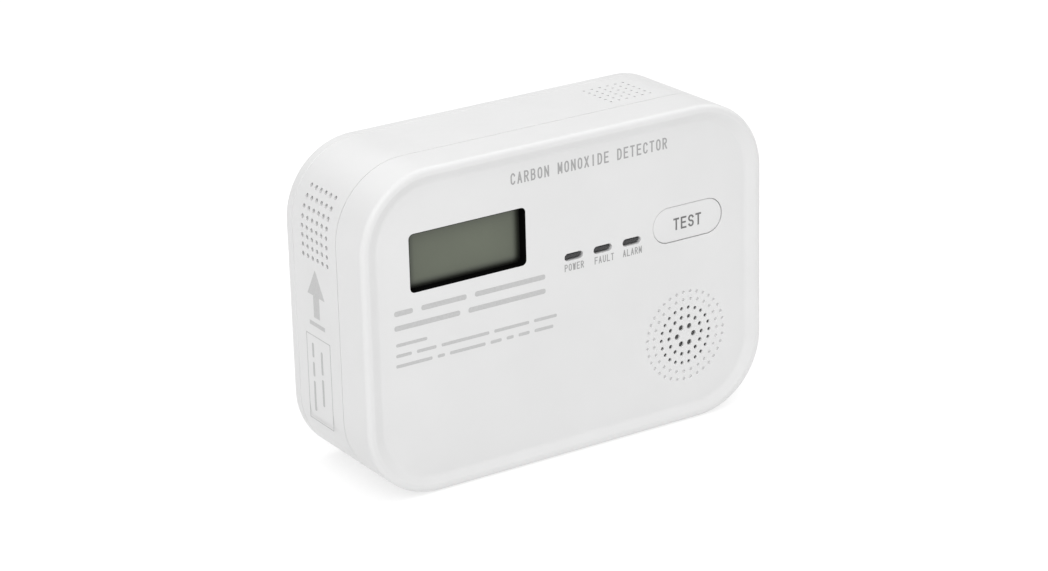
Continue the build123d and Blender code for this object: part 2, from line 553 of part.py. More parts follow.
# ---------------------------------------------------------------- dust screens inside the vents
with BuildPart() as side_dust_screen:
    casing(15.6, 31.4, WALL + 0.05)
    casing(15.5, 31.5, WALL + 0.35, Mode.SUBTRACT)
    slab(-48.0, W, -H, H, 15, 32, Mode.SUBTRACT)
    slab(-W, 0, -H, SIDE_Z - 10.4, 15, 32, Mode.SUBTRACT)
    slab(-W, 0, SIDE_Z + 10.0, H, 15, 32, Mode.SUBTRACT)
    disc(-BOSS_X, BOSS_Z, 4.3, 15, 32, Mode.SUBTRACT)
side_dust_screen.part.label = "side_dust_screen"
export_step(side_dust_screen.part, "parts/side_dust_screen.step")

with BuildPart() as top_dust_screen:
    casing(15.6, 31.4, WALL + 0.05)
    casing(15.5, 31.5, WALL + 0.35, Mode.SUBTRACT)
    slab(-W, TOP_X - 8.0, -H, H, 15, 32, Mode.SUBTRACT)
    slab(TOP_X + 8.0, W, -H, H, 15, 32, Mode.SUBTRACT)
    slab(-W, W, -H, 30.0, 15, 32, Mode.SUBTRACT)
top_dust_screen.part.label = "top_dust_screen"
export_step(top_dust_screen.part, "parts/top_dust_screen.step")

# ---------------------------------------------------------------- battery cells and contacts
CONTACT_T = 0.4
CELL_X0, CELL_X1 = BAY_X0 + CONTACT_T, BAY_X1 - CONTACT_T      # faces of the contact plates


def cell(z, nub_right):
    """AA cell lying along X with its positive cap at one end."""
    s = 1 if nub_right else -1
    start = CELL_X1 if nub_right else CELL_X0
    with BuildSketch(Plane.YZ.offset(start - s * 1.0)) as jacket:
        with Locations((FRONT + CELL_D, MID + z)):
            Circle(CELL_R)
    extrude(jacket.sketch, amount=-s * (CELL_L - 1.0))
    with BuildSketch(Plane.YZ.offset(start)) as cap:
        with Locations((FRONT + CELL_D, MID + z)):
            Circle(2.7)
    extrude(cap.sketch, amount=-s * 1.2)


with BuildPart() as cell_top:
    cell(CELL_Z[0], True)
cell_top.part.label = "battery_cell_top"
export_step(cell_top.part, "parts/battery_cell_top.step")

with BuildPart() as cell_middle:
    cell(CELL_Z[1], False)
cell_middle.part.label = "battery_cell_middle"
export_step(cell_middle.part, "parts/battery_cell_middle.step")

with BuildPart() as cell_bottom:
    cell(CELL_Z[2], True)
cell_bottom.part.label = "battery_cell_bottom"
export_step(cell_bottom.part, "parts/battery_cell_bottom.step")

with BuildPart() as contact_plates:
    for z in CELL_Z:
        slab(BAY_X0, CELL_X0, z - 5.5, z + 5.5, CELL_D - 5.0, CELL_D + 5.0)
        slab(CELL_X1, BAY_X1, z - 5.5, z + 5.5, CELL_D - 5.0, CELL_D + 5.0)
contact_plates.part.label = "contact_plates"
export_step(contact_plates.part, "parts/contact_plates.step")

SPRING_L = BAY_X1 - BAY_X0 - 2 * CONTACT_T - CELL_L
WIRE_R = 0.4
with BuildPart() as contact_springs:
    for z, left in ((CELL_Z[0], True), (CELL_Z[1], False), (CELL_Z[2], True)):
        s = 1 if left else -1
        x = CELL_X0 if left else CELL_X1
        h = SPRING_L - 2 * WIRE_R - 0.1
        with BuildLine() as coil:
            Helix(pitch=h / 3, height=h, radius=4.2, center=(x + s * (WIRE_R + 0.05), FRONT + CELL_D, MID + z),
                  direction=(s, 0, 0), cone_angle=-10)
        with BuildSketch(Plane(origin=coil.line @ 0, z_dir=coil.line % 0)):
            Circle(WIRE_R)
        sweep(path=coil.line, is_frenet=True)
contact_springs.part.label = "contact_springs"
export_step(contact_springs.part, "parts/contact_springs.step")

# leads from the bay's right wall to the board
with BuildPart() as lead_red:
    with BuildLine() as route_red:
        FilletPolyline(
            (BAY_X1 + BAY_T, FRONT + 24.0, MID + CELL_Z[0]),
            (BAY_X1 + BAY_T + 5.0, FRONT + 24.0, MID + CELL_Z[0]),
            (BAY_X1 + BAY_T + 5.0, FRONT + PCB_BACK, MID + CELL_Z[0]),
            radius=3.0,
        )
    with BuildSketch(Plane(origin=route_red.line @ 0, z_dir=route_red.line % 0)):
        Circle(0.65)
    sweep(path=route_red.line)
lead_red.part.label = "battery_lead_red"
export_step(lead_red.part, "parts/battery_lead_red.step")

with BuildPart() as lead_black:
    with BuildLine() as route_black:
        FilletPolyline(
            (BAY_X1 + BAY_T, FRONT + 24.0, MID + CELL_Z[2] + 3.0),
            (BAY_X1 + BAY_T + 5.0, FRONT + 24.0, MID + CELL_Z[2] + 3.0),
            (BAY_X1 + BAY_T + 5.0, FRONT + PCB_BACK, MID + CELL_Z[2] + 3.0),
            radius=3.0,
        )
    with BuildSketch(Plane(origin=route_black.line @ 0, z_dir=route_black.line % 0)):
        Circle(0.65)
    sweep(path=route_black.line)
lead_black.part.label = "battery_lead_black"
export_step(lead_black.part, "parts/battery_lead_black.step")

# ---------------------------------------------------------------- case screws, driven from the rear
with BuildPart() as case_screws:
    for sx in (-1, 1):
        for sz in (-1, 1):
            x, z = sx * BOSS_X, sz * BOSS_Z
            disc(x, z, 2.6, 28.0, 30.0)
            disc(x, z, 1.3, 6.5, 28.1)
            slab(x - 1.7, x + 1.7, z - 0.3, z + 0.3, 29.0, 30.1, Mode.SUBTRACT)
            slab(x - 0.3, x + 0.3, z - 1.7, z + 1.7, 29.0, 30.1, Mode.SUBTRACT)
case_screws.part.label = "case_screws"
export_step(case_screws.part, "parts/case_screws.step")
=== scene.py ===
import math

import bmesh
import bpy
from mathutils import Matrix, Vector


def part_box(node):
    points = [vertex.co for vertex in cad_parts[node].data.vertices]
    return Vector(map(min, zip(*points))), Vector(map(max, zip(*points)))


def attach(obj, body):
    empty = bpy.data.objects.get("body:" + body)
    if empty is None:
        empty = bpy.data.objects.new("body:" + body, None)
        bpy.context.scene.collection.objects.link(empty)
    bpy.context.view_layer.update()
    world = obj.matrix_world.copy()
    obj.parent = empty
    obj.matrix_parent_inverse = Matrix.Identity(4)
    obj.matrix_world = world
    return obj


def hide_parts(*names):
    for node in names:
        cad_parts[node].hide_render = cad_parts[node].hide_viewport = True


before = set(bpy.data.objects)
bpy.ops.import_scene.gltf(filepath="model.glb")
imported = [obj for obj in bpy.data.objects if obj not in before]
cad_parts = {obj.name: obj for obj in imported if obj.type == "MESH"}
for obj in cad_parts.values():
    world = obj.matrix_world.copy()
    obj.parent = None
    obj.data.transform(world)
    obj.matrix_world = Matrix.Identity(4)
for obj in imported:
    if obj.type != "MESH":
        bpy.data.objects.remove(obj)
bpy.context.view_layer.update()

MM = 0.001
W, H, D, R, DRAFT = 120.0, 85.2, 38.3, 19.9, 0.65
FRONT, MID = -D / 2, H / 2
PANEL_D = 1.2


def P(x, d, z):
    """Point in metres from x, depth behind the front rim and height above the middle, in mm."""
    return Vector((x, FRONT + d, MID + z)) * MM


# ---------------------------------------------------------------- camera
cam_data = bpy.data.cameras.new("camera")
cam_data.lens = 113.42
cam_data.sensor_width = 36.0
cam_data.sensor_fit = "HORIZONTAL"
cam_data.clip_start, cam_data.clip_end = 0.05, 20.0
cam = bpy.data.objects.new("camera", cam_data)
bpy.context.scene.collection.objects.link(cam)
ax = Vector((0.83635904, -0.54764242, -0.02431729))
ay = Vector((0.21302080, 0.28381143, 0.93491882))
az = Vector((-0.50509969, -0.78710790, 0.35402749))
cam.matrix_world = Matrix((
    (ax.x, ay.x, az.x, -0.42864703),
    (ax.y, ay.y, az.y, -0.66556353),
    (ax.z, ay.z, az.z, 0.33970076),
    (0, 0, 0, 1),
))
bpy.context.scene.camera = cam
scene = bpy.context.scene
scene.view_settings.view_transform = "Standard"
scene.view_settings.look = "None"
scene.view_settings.exposure = 0.0
scene.view_settings.gamma = 1.0


# ---------------------------------------------------------------- materials
def node(tree, kind, **values):
    n = tree.nodes.new(kind)
    for k, v in values.items():
        if hasattr(n, k):
            setattr(n, k, v)
        else:
            n.inputs[k].default_value = v
    return n


def noise(tree, coord, scale, detail=2.0, rough=0.5):
    n = tree.nodes.new("ShaderNodeTexNoise")
    n.inputs["Scale"].default_value = scale
    n.inputs["Detail"].default_value = detail
    n.inputs["Roughness"].default_value = rough
    tree.links.new(coord, n.inputs["Vector"])
    return n


def ramp(tree, fac, stops):
    r = tree.nodes.new("ShaderNodeValToRGB")
    while len(r.color_ramp.elements) < len(stops):
        r.color_ramp.elements.new(0.5)
    for e, (p, c) in zip(r.color_ramp.elements, stops):
        e.position = p
        e.color = (*c, 1.0)
    tree.links.new(fac, r.inputs["Fac"])
    return r


def start(name):
    m = bpy.data.materials.new(name)
    m.use_nodes = True
    t = m.node_tree
    b = t.nodes["Principled BSDF"]
    c = t.nodes.new("ShaderNodeTexCoord").outputs["Object"]
    return m, t, b, c


def moulded(name, colour, vary=0.012, rough=(0.36, 0.46), grain=3200.0, depth=0.000006, coat=0.0, spec=0.5):
    """Moulded plastic: faint flow clouds in the colour, spark-eroded grain, roughness that wanders."""
    m, t, b, c = start(name)
    clouds = noise(t, c, 38.0, 4.0, 0.55)
    lo = tuple(max(0.0, v - vary) for v in colour)
    hi = tuple(min(1.0, v + vary) for v in colour)
    r = ramp(t, clouds.outputs["Fac"], ((0.3, lo), (0.7, hi)))
    t.links.new(r.outputs["Color"], b.inputs["Base Color"])
    g = noise(t, c, grain, 3.0, 0.6)
    mr = node(t, "ShaderNodeMapRange")
    mr.inputs["From Min"].default_value, mr.inputs["From Max"].default_value = 0.3, 0.7
    mr.inputs["To Min"].default_value, mr.inputs["To Max"].default_value = rough
    t.links.new(noise(t, c, 260.0, 3.0, 0.6).outputs["Fac"], mr.inputs["Value"])
    t.links.new(mr.outputs["Result"], b.inputs["Roughness"])
    bump = t.nodes.new("ShaderNodeBump")
    bump.inputs["Strength"].default_value = 0.55
    bump.inputs["Distance"].default_value = depth
    t.links.new(g.outputs["Fac"], bump.inputs["Height"])
    t.links.new(bump.outputs["Normal"], b.inputs["Normal"])
    b.inputs["Specular IOR Level"].default_value = spec
    b.inputs["Coat Weight"].default_value = coat
    b.inputs["Coat Roughness"].default_value = 0.25
    return m


def metal(name, colour, rough=(0.22, 0.38), stretch=(1, 1, 30)):
    m, t, b, c = start(name)
    mp = t.nodes.new("ShaderNodeMapping")
    mp.inputs["Scale"].default_value = stretch
    t.links.new(c, mp.inputs["Vector"])
    n = noise(t, mp.outputs["Vector"], 420.0, 4.0, 0.6)
    r = ramp(t, n.outputs["Fac"], ((0.25, tuple(v * 0.86 for v in colour)), (0.75, colour)))
    t.links.new(r.outputs["Color"], b.inputs["Base Color"])
    mr = node(t, "ShaderNodeMapRange")
    mr.inputs["To Min"].default_value, mr.inputs["To Max"].default_value = rough
    t.links.new(n.outputs["Fac"], mr.inputs["Value"])
    t.links.new(mr.outputs["Result"], b.inputs["Roughness"])
    b.inputs["Metallic"].default_value = 1.0
    bump = t.nodes.new("ShaderNodeBump")
    bump.inputs["Strength"].default_value = 0.3
    bump.inputs["Distance"].default_value = 0.00001
    t.links.new(n.outputs["Fac"], bump.inputs["Height"])
    t.links.new(bump.outputs["Normal"], b.inputs["Normal"])
    return m


def cloth(name, colour):
    """Fine woven dust screen: crossed threads from two wave textures."""
    m, t, b, c = start(name)
    waves = []
    for axis in ("X", "Z"):
        w = t.nodes.new("ShaderNodeTexWave")
        w.bands_direction = axis
        w.inputs["Scale"].default_value = 560.0
        t.links.new(c, w.inputs["Vector"])
        waves.append(w)
    mx = t.nodes.new("ShaderNodeMath")
    mx.operation = "MAXIMUM"
    t.links.new(waves[0].outputs["Fac"], mx.inputs[0])
    t.links.new(waves[1].outputs["Fac"], mx.inputs[1])
    r = ramp(t, mx.outputs["Value"], ((0.35, tuple(v * 0.35 for v in colour)), (0.9, colour)))
    t.links.new(r.outputs["Color"], b.inputs["Base Color"])
    bump = t.nodes.new("ShaderNodeBump")
    bump.inputs["Strength"].default_value = 0.6
    bump.inputs["Distance"].default_value = 0.00008
    t.links.new(mx.outputs["Value"], bump.inputs["Height"])
    t.links.new(bump.outputs["Normal"], b.inputs["Normal"])
    b.inputs["Roughness"].default_value = 0.9
    b.inputs["Specular IOR Level"].default_value = 0.06
    return m


def ink(name, colour, rough=0.6):
    """Pad-printed ink with slightly uneven coverage."""
    m, t, b, c = start(name)
    n = noise(t, c, 1900.0, 3.0, 0.6)
    r = ramp(t, n.outputs["Fac"], ((0.3, colour), (0.75, tuple(min(1, v * 1.14) for v in colour))))
    t.links.new(r.outputs["Color"], b.inputs["Base Color"])
    bump = t.nodes.new("ShaderNodeBump")
    bump.inputs["Strength"].default_value = 0.25
    bump.inputs["Distance"].default_value = 0.000006
    t.links.new(n.outputs["Fac"], bump.inputs["Height"])
    t.links.new(bump.outputs["Normal"], b.inputs["Normal"])
    b.inputs["Roughness"].default_value = rough
    return m


def display(name, colour, centre, half, painted_shade_width):
    """Blank liquid crystal: grey-green with faint clouds, with painted shade darkening it towards its edges in place of
    the shade the recess walls cast.
    """
    m, t, b, c = start(name)
    n = noise(t, c, 60.0, 3.0, 0.5)
    fine = noise(t, c, 2600.0, 2.0, 0.5)
    mixn = t.nodes.new("ShaderNodeMath")
    mixn.operation = "MULTIPLY_ADD"
    mixn.inputs[1].default_value = 0.25
    t.links.new(fine.outputs["Fac"], mixn.inputs[0])
    t.links.new(n.outputs["Fac"], mixn.inputs[2])
    r = ramp(t, mixn.outputs["Value"], ((0.4, tuple(v * 0.94 for v in colour)), (0.85, tuple(v * 1.06 for v in colour))))
    sep = t.nodes.new("ShaderNodeSeparateXYZ")
    t.links.new(c, sep.inputs["Vector"])
    # painted shade: the colour falls to near black in a band along each edge of the display, where the recess walls
    # would shade it
    painted_shade_fades = []
    for axis, mid, h, edge in (("X", centre[0], half[0], painted_shade_width[0]), ("Z", centre[1], half[1], painted_shade_width[1])):
        off = t.nodes.new("ShaderNodeMath")
        off.operation = "SUBTRACT"
        off.inputs[1].default_value = mid
        t.links.new(sep.outputs[axis], off.inputs[0])
        ab = t.nodes.new("ShaderNodeMath")
        ab.operation = "ABSOLUTE"
        t.links.new(off.outputs["Value"], ab.inputs[0])
        mr = t.nodes.new("ShaderNodeMapRange")
        mr.interpolation_type = "SMOOTHSTEP"
        mr.inputs["From Min"].default_value = h
        mr.inputs["From Max"].default_value = h - edge
        mr.inputs["To Min"].default_value = 0.03
        mr.inputs["To Max"].default_value = 1.0
        t.links.new(ab.outputs["Value"], mr.inputs["Value"])
        painted_shade_fades.append(mr)
    mul = t.nodes.new("ShaderNodeMath")
    mul.operation = "MULTIPLY"
    t.links.new(painted_shade_fades[0].outputs["Result"], mul.inputs[0])
    t.links.new(painted_shade_fades[1].outputs["Result"], mul.inputs[1])
    mx = t.nodes.new("ShaderNodeMix")
    mx.data_type = "RGBA"
    # near-black colour of the painted edge shade
    mx.inputs[6].default_value = (0.004, 0.004, 0.004, 1.0)
    t.links.new(mul.outputs["Value"], mx.inputs[0])
    t.links.new(r.outputs["Color"], mx.inputs[7])
    t.links.new(mx.outputs[2], b.inputs["Base Color"])
    bump = t.nodes.new("ShaderNodeBump")
    bump.inputs["Strength"].default_value = 0.2
    bump.inputs["Distance"].default_value = 0.000004
    t.links.new(fine.outputs["Fac"], bump.inputs["Height"])
    t.links.new(bump.outputs["Normal"], b.inputs["Normal"])
    b.inputs["Roughness"].default_value = 0.28
    return m


def clear(name, tint=(0.96, 0.98, 0.98), through=1.0, rough=0.06):
    """Clear acrylic with faint flow lines."""
    m, t, b, c = start(name)
    n = noise(t, c, 300.0, 2.0, 0.5)
    r = ramp(t, n.outputs["Fac"], ((0.3, tuple(v * 0.97 for v in tint)), (0.7, tint)))
    t.links.new(r.outputs["Color"], b.inputs["Base Color"])
    bump = t.nodes.new("ShaderNodeBump")
    bump.inputs["Strength"].default_value = 0.15
    bump.inputs["Distance"].default_value = 0.00001
    t.links.new(n.outputs["Fac"], bump.inputs["Height"])
    t.links.new(bump.outputs["Normal"], b.inputs["Normal"])
    b.inputs["Transmission Weight"].default_value = through
    b.inputs["IOR"].default_value = 1.49
    b.inputs["Roughness"].default_value = rough
    return m


def cell(name, x_mid, sign):
    """Dry cell lying along X: printed sleeve with a pale band at its button end, bare tinned steel at both ends."""
    m, t, b, c = start(name)
    sep = t.nodes.new("ShaderNodeSeparateXYZ")
    t.links.new(c, sep.inputs["Vector"])
    along = t.nodes.new("ShaderNodeMath")
    along.operation = "MULTIPLY_ADD"                   # millimetres from the middle towards the button end
    along.inputs[1].default_value = 1000.0 * sign
    along.inputs[2].default_value = -x_mid * sign
    t.links.new(sep.outputs["X"], along.inputs[0])
    unit = node(t, "ShaderNodeMapRange")
    unit.inputs["From Min"].default_value, unit.inputs["From Max"].default_value = -30.0, 30.0
    t.links.new(along.outputs["Value"], unit.inputs["Value"])

    def at_mm(v):
        return (v + 30.0) / 60.0

    steel, dark, pale = (0.62, 0.62, 0.63), (0.05, 0.055, 0.065), (0.42, 0.43, 0.45)
    colour = ramp(t, unit.outputs["Result"], ((0.0, steel), (at_mm(-24.2), dark), (at_mm(14.0), pale), (at_mm(16.0), dark),
                                              (at_mm(17.0), pale), (at_mm(23.4), steel)))
    colour.color_ramp.interpolation = "CONSTANT"
    shine = ramp(t, unit.outputs["Result"], ((0.0, (1.0, 1.0, 1.0)), (at_mm(-24.2), (0.0, 0.0, 0.0)), (at_mm(23.4), (1.0, 1.0, 1.0))))
    shine.color_ramp.interpolation = "CONSTANT"
    n = noise(t, c, 700.0, 3.0, 0.6)
    tone = t.nodes.new("ShaderNodeMix")
    tone.data_type = "RGBA"
    tone.blend_type = "MULTIPLY"
    tone.inputs[0].default_value = 0.25
    t.links.new(colour.outputs["Color"], tone.inputs[6])
    t.links.new(n.outputs["Fac"], tone.inputs[7])
    t.links.new(tone.outputs[2], b.inputs["Base Color"])
    t.links.new(shine.outputs["Color"], b.inputs["Metallic"])
    bump = t.nodes.new("ShaderNodeBump")
    bump.inputs["Strength"].default_value = 0.2
    bump.inputs["Distance"].default_value = 0.00001
    t.links.new(n.outputs["Fac"], bump.inputs["Height"])
    t.links.new(bump.outputs["Normal"], b.inputs["Normal"])
    b.inputs["Roughness"].default_value = 0.26
    return m


def board(name):
    """Circuit board: green mask with darker track pattern."""
    m, t, b, c = start(name)
    v = t.nodes.new("ShaderNodeTexBrick")
    v.inputs["Scale"].default_value = 190.0
    v.inputs["Color1"].default_value = (0.012, 0.12, 0.045, 1)
    v.inputs["Color2"].default_value = (0.018, 0.17, 0.06, 1)
    v.inputs["Mortar"].default_value = (0.03, 0.24, 0.09, 1)
    v.inputs["Mortar Size"].default_value = 0.03
    mp = t.nodes.new("ShaderNodeMapping")
    mp.inputs["Rotation"].default_value = (math.radians(90), 0, 0)
    t.links.new(c, mp.inputs["Vector"])
    t.links.new(mp.outputs["Vector"], v.inputs["Vector"])
    t.links.new(v.outputs["Color"], b.inputs["Base Color"])
    bump = t.nodes.new("ShaderNodeBump")
    bump.inputs["Strength"].default_value = 0.3
    bump.inputs["Distance"].default_value = 0.00003
    t.links.new(v.outputs["Fac"], bump.inputs["Height"])
    t.links.new(bump.outputs["Normal"], b.inputs["Normal"])
    b.inputs["Roughness"].default_value = 0.32
    return m


WHITE = (0.676, 0.676, 0.676)
mat_front = moulded("white_front", WHITE)
mat_rear = moulded("white_rear", WHITE)
mat_plate = moulded("white_plate", (0.669, 0.669, 0.669))
mat_door = moulded("white_door", (0.669, 0.669, 0.669))
mat_button = moulded("white_button", (0.678, 0.678, 0.678), rough=(0.33, 0.42), grain=4200.0, depth=0.000004)
mat_black = moulded("black_bezel", (0.0014, 0.0014, 0.0013), vary=0.0004, rough=(0.72, 0.82), spec=0.04)
mat_shroud = moulded("black_shroud", (0.01, 0.01, 0.01), vary=0.003, rough=(0.55, 0.7))
# the last pair of values is the width of the painted shade along the display's edges, in metres
mat_glass = display("display_grey", (0.1025, 0.1157, 0.083), (-29.0 * MM, (MID + 19.3) * MM), (16.75 * MM, 8.1 * MM), (2.9 * MM, 2.6 * MM))
mat_clear = clear("acrylic_smoked", (0.10, 0.10, 0.105), 0.7, 0.09)
mat_cloth = cloth("screen_cloth", (0.008, 0.008, 0.008))
mat_cloth_grille = cloth("grille_cloth_grey", (0.60, 0.60, 0.60))
mat_ink_title = ink("ink_title", (0.32, 0.32, 0.32))
mat_ink_small = ink("ink_small", (0.29, 0.29, 0.29))
mat_ink_legend = ink("ink_legend", (0.45, 0.45, 0.45))
mat_ink_test = ink("ink_test", (0.14, 0.14, 0.14))
mat_ink_mark = ink("ink_mark", (0.47, 0.47, 0.47))
mat_ink_side = ink("ink_side", (0.44, 0.44, 0.44))


# ---------------------------------------------------------------- mesh helpers
def ring(w, h, r, cx, cz, d, n=24):
    """Rounded rectangle in the plane at depth d, as points in metres, anticlockwise from the front."""
    r = min(r, w / 2 - 1e-4, h / 2 - 1e-4)
    pts = []
    for sx, sz, a0 in ((1, 1, 0), (-1, 1, 90), (-1, -1, 180), (1, -1, 270)):
        ox, oz = cx + sx * (w / 2 - r), cz + sz * (h / 2 - r)
        for k in range(n + 1):
            a = math.radians(a0 + 90.0 * k / n)
            pts.append(P(ox + r * math.cos(a), d, oz + r * math.sin(a)))
    return pts


def outline(d, inset=0.0, n=24):
    t = DRAFT * d / D
    w = W - 2 * t - 2 * inset
    top, bottom = H / 2 - t - inset, -H / 2 + inset
    return ring(w, top - bottom, R - t - inset, 0.0, (top + bottom) / 2, d, n)


def circle(cx, cz, r, d, n=24):
    return [P(cx + r * math.cos(2 * math.pi * k / n), d, cz + r * math.sin(2 * math.pi * k / n)) for k in range(n)]


def add_stack(bm, loops, closed=False):
    """Quads between successive loops, capped at both ends."""
    rows = [[bm.verts.new(p) for p in loop] for loop in loops]
    n = len(rows[0])
    for a, b in zip(rows, rows[1:]):
        for k in range(n):
            bm.faces.new((a[k], a[(k + 1) % n], b[(k + 1) % n], b[k]))
    bm.faces.new(list(reversed(rows[0])))
    bm.faces.new(rows[-1])


def finish_mesh(bm, name, material=None, smooth=30.0, weighted=True):
    bmesh.ops.remove_doubles(bm, verts=bm.verts, dist=1e-8)
    bmesh.ops.recalc_face_normals(bm, faces=bm.faces)
    me = bpy.data.meshes.new(name)
    bm.to_mesh(me)
    bm.free()
    o = bpy.data.objects.new(name, me)
    scene.collection.objects.link(o)
    if material:
        me.materials.append(material)
    shade(o, smooth, weighted)
    return o


def shade(o, angle=30.0, weighted=True):
    me = o.data
    me.shade_smooth()
    me.set_sharp_from_angle(angle=math.radians(angle))
    if weighted:
        w = o.modifiers.new("weighted", "WEIGHTED_NORMAL")
        w.keep_sharp = True


def bake(o):
    """Applies the modifiers."""
    bpy.context.view_layer.update()
    dg = bpy.context.evaluated_depsgraph_get()
    me = bpy.data.meshes.new_from_object(o.evaluated_get(dg))
    old = o.data
    o.modifiers.clear()
    o.data = me
    me.name = o.name
    bpy.data.meshes.remove(old)
    return o


def cut(o, cutters):
    """Takes the cutters, one mesh of separate closed shells, out of o."""
    m = o.modifiers.new("cut", "BOOLEAN")
    m.operation, m.solver, m.object = "DIFFERENCE", "EXACT", cutters
    bake(o)
    bpy.data.objects.remove(cutters, do_unlink=True)
    return o


def stack(name, loops, material=None, smooth=30.0):
    bm = bmesh.new()
    add_stack(bm, loops)
    return finish_mesh(bm, name, material, smooth)


# ---------------------------------------------------------------- front cover
def slope(s, a=0.16, b=0.34):
    """0 to 1 with rounded ends, for the rim's inner flank: tight at the crest, wide at the foot."""
    v = 1.0 / (1.0 - a / 2 - b / 2)
    if s < a:
        return v * s * s / (2 * a)
    if s > 1 - b:
        return 1 - v * (1 - s) ** 2 / (2 * b)
    return v * (s - a / 2)


PW, PH, PR = 109.6, 76.1, 15.5
loops = []
loops.append(outline(12.8, 0.35))
loops.append(outline(12.66, 0.35))
loops.append(outline(12.66, 0.04))
loops.append(outline(12.62, 0.0))
loops.append(outline(12.0, 0.0))
loops.append(outline(7.0, 0.0))
loops.append(outline(2.2, 0.0))
FR = 1.35
for k in range(0, 13):
    a = math.radians(90.0 * k / 12)
    d = FR * (1 - math.sin(a))
    loops.append(outline(d, FR * (1 - math.cos(a))))
x_in0, n_s = 1.75, 24
w0, h0, r0 = W - 2 * x_in0, H - 2 * x_in0, R - x_in0
for k in range(0, n_s + 1):
    s = k / n_s
    e = slope(s)
    loops.append(ring(w0 + (PW - w0) * s, h0 + (PH - h0) * s, r0 + (PR - r0) * s, 0, 0, PANEL_D * e))
front_loops = list(reversed(loops))
inner = [outline(12.8, 0.35), outline(12.8, 1.0), outline(10.7, 1.0), outline(10.7, 2.0), outline(3.4, 2.0), outline(3.2, 2.2)]
front = stack("front_shell", front_loops + inner[1:], mat_front, 30.0)
front.modifiers.clear()


def flared(bm, loop_of, flare, depth, n_steps=1):
    """Cutter with a small bevel where it breaks the panel. loop_of(grow, d) gives its outline."""
    add_stack(bm, [loop_of(flare + 0.6, PANEL_D - 0.6), loop_of(flare, PANEL_D), loop_of(flare * 0.35, PANEL_D + flare * 0.45),
                   loop_of(0.0, PANEL_D + flare), loop_of(0.0, depth)])


GX, GZ = 36.3, -19.2
bm = bmesh.new()                          # thinned wall behind the sounder's grille
add_stack(bm, [circle(GX, GZ, 8.9, PANEL_D + 0.60, 64), circle(GX, GZ, 8.9, 3.8, 64)])
cut(front, finish_mesh(bm, "pocket", None, 30.0, False))
LCD = (-29.0, 18.7, 33.6, 15.0, 1.2)
BTN = (37.25, 12.05, 21.7, 9.5)
LED_X, LED_Z = (2.1, 10.9, 19.8), 10.25
bm = bmesh.new()
flared(bm, lambda g, d: ring(LCD[2] + 0.24 + 2 * g, LCD[3] + 0.24 + 2 * g, LCD[4] + 0.12 + g, LCD[0], LCD[1], d, 10), 0.08, 3.6)
flared(bm, lambda g, d: ring(BTN[2] + 0.18 + 2 * g, BTN[3] + 0.18 + 2 * g, 10, BTN[0], BTN[1], d, 20), 0.05, 3.6)
for x in LED_X:
    flared(bm, lambda g, d: ring(5.6 + 2 * g, 2.0 + 2 * g, 5, x, LED_Z, d, 10), 0.10, 3.6)
for ring_r, count, hole_r in ((2.60, 6, 0.75), (5.15, 14, 0.55), (7.58, 22, 0.48)):
    for k in range(count):
        a = 2 * math.pi * k / count
        hx, hz = GX + ring_r * math.cos(a), GZ + ring_r * math.sin(a)
        g = 0.10
        add_stack(bm, [circle(hx, hz, hole_r + g + 0.3, PANEL_D - 0.3, 20), circle(hx, hz, hole_r + g, PANEL_D, 20),
                       circle(hx, hz, hole_r + g * 0.3, PANEL_D + g * 0.4, 20), circle(hx, hz, hole_r, PANEL_D + g, 20),
                       circle(hx, hz, hole_r, PANEL_D + 1.0, 20)])
for ring_r, count, hole_r in ((9.97, 27, 0.40), (12.02, 35, 0.40)):
    for k in range(count):
        a = 2 * math.pi * k / count
        hx, hz = GX + ring_r * math.cos(a), GZ + ring_r * math.sin(a)
        add_stack(bm, [circle(hx, hz, hole_r + 0.36, PANEL_D - 0.3, 16), circle(hx, hz, hole_r + 0.06, PANEL_D, 16),
                       circle(hx, hz, hole_r, PANEL_D + 0.08, 16), circle(hx, hz, hole_r, PANEL_D + 0.32, 16),
                       circle(hx, hz, hole_r - 0.12, PANEL_D + 0.40, 16)])
cutters = finish_mesh(bm, "cutters", None, 30.0, False)
cut(front, cutters)
shade(front, 30.0)
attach(front, "case")
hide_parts("front_cover")

# ---------------------------------------------------------------- test button
bx, bz, bw, bh = BTN
b_loops = [ring(bw, bh, 10, bx, bz, 4.5, 20), ring(bw, bh, 10, bx, bz, 1.70, 20)]
for k in range(1, 7):
    a = math.radians(90.0 * k / 6)
    b_loops.append(ring(bw - 2 * 0.42 * (1 - math.cos(a)), bh - 2 * 0.42 * (1 - math.cos(a)), 10, bx, bz,
                        1.70 - 0.42 * math.sin(a), 20))
for k in range(1, 9):                     # slight crown
    s = k / 9.0
    b_loops.append(ring((bw - 0.84) - s * (bh - 0.84) * 0.98, (bh - 0.84) * (1 - s * 0.98), 10, bx, bz,
                        1.28 - 0.16 * (1 - (1 - s) ** 2), 20))
base = [ring(24.5, 12.3, 10, bx, bz, 4.5, 20), ring(24.5, 12.3, 10, bx, bz, 3.5, 20), ring(bw, bh, 10, bx, bz, 3.5, 20)]
button = stack("button_cap", [ring(bw - 2.4, bh - 2.4, 10, bx, bz, 4.5, 20)] + base + b_loops[1:], mat_button, 35.0)
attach(button, "button")


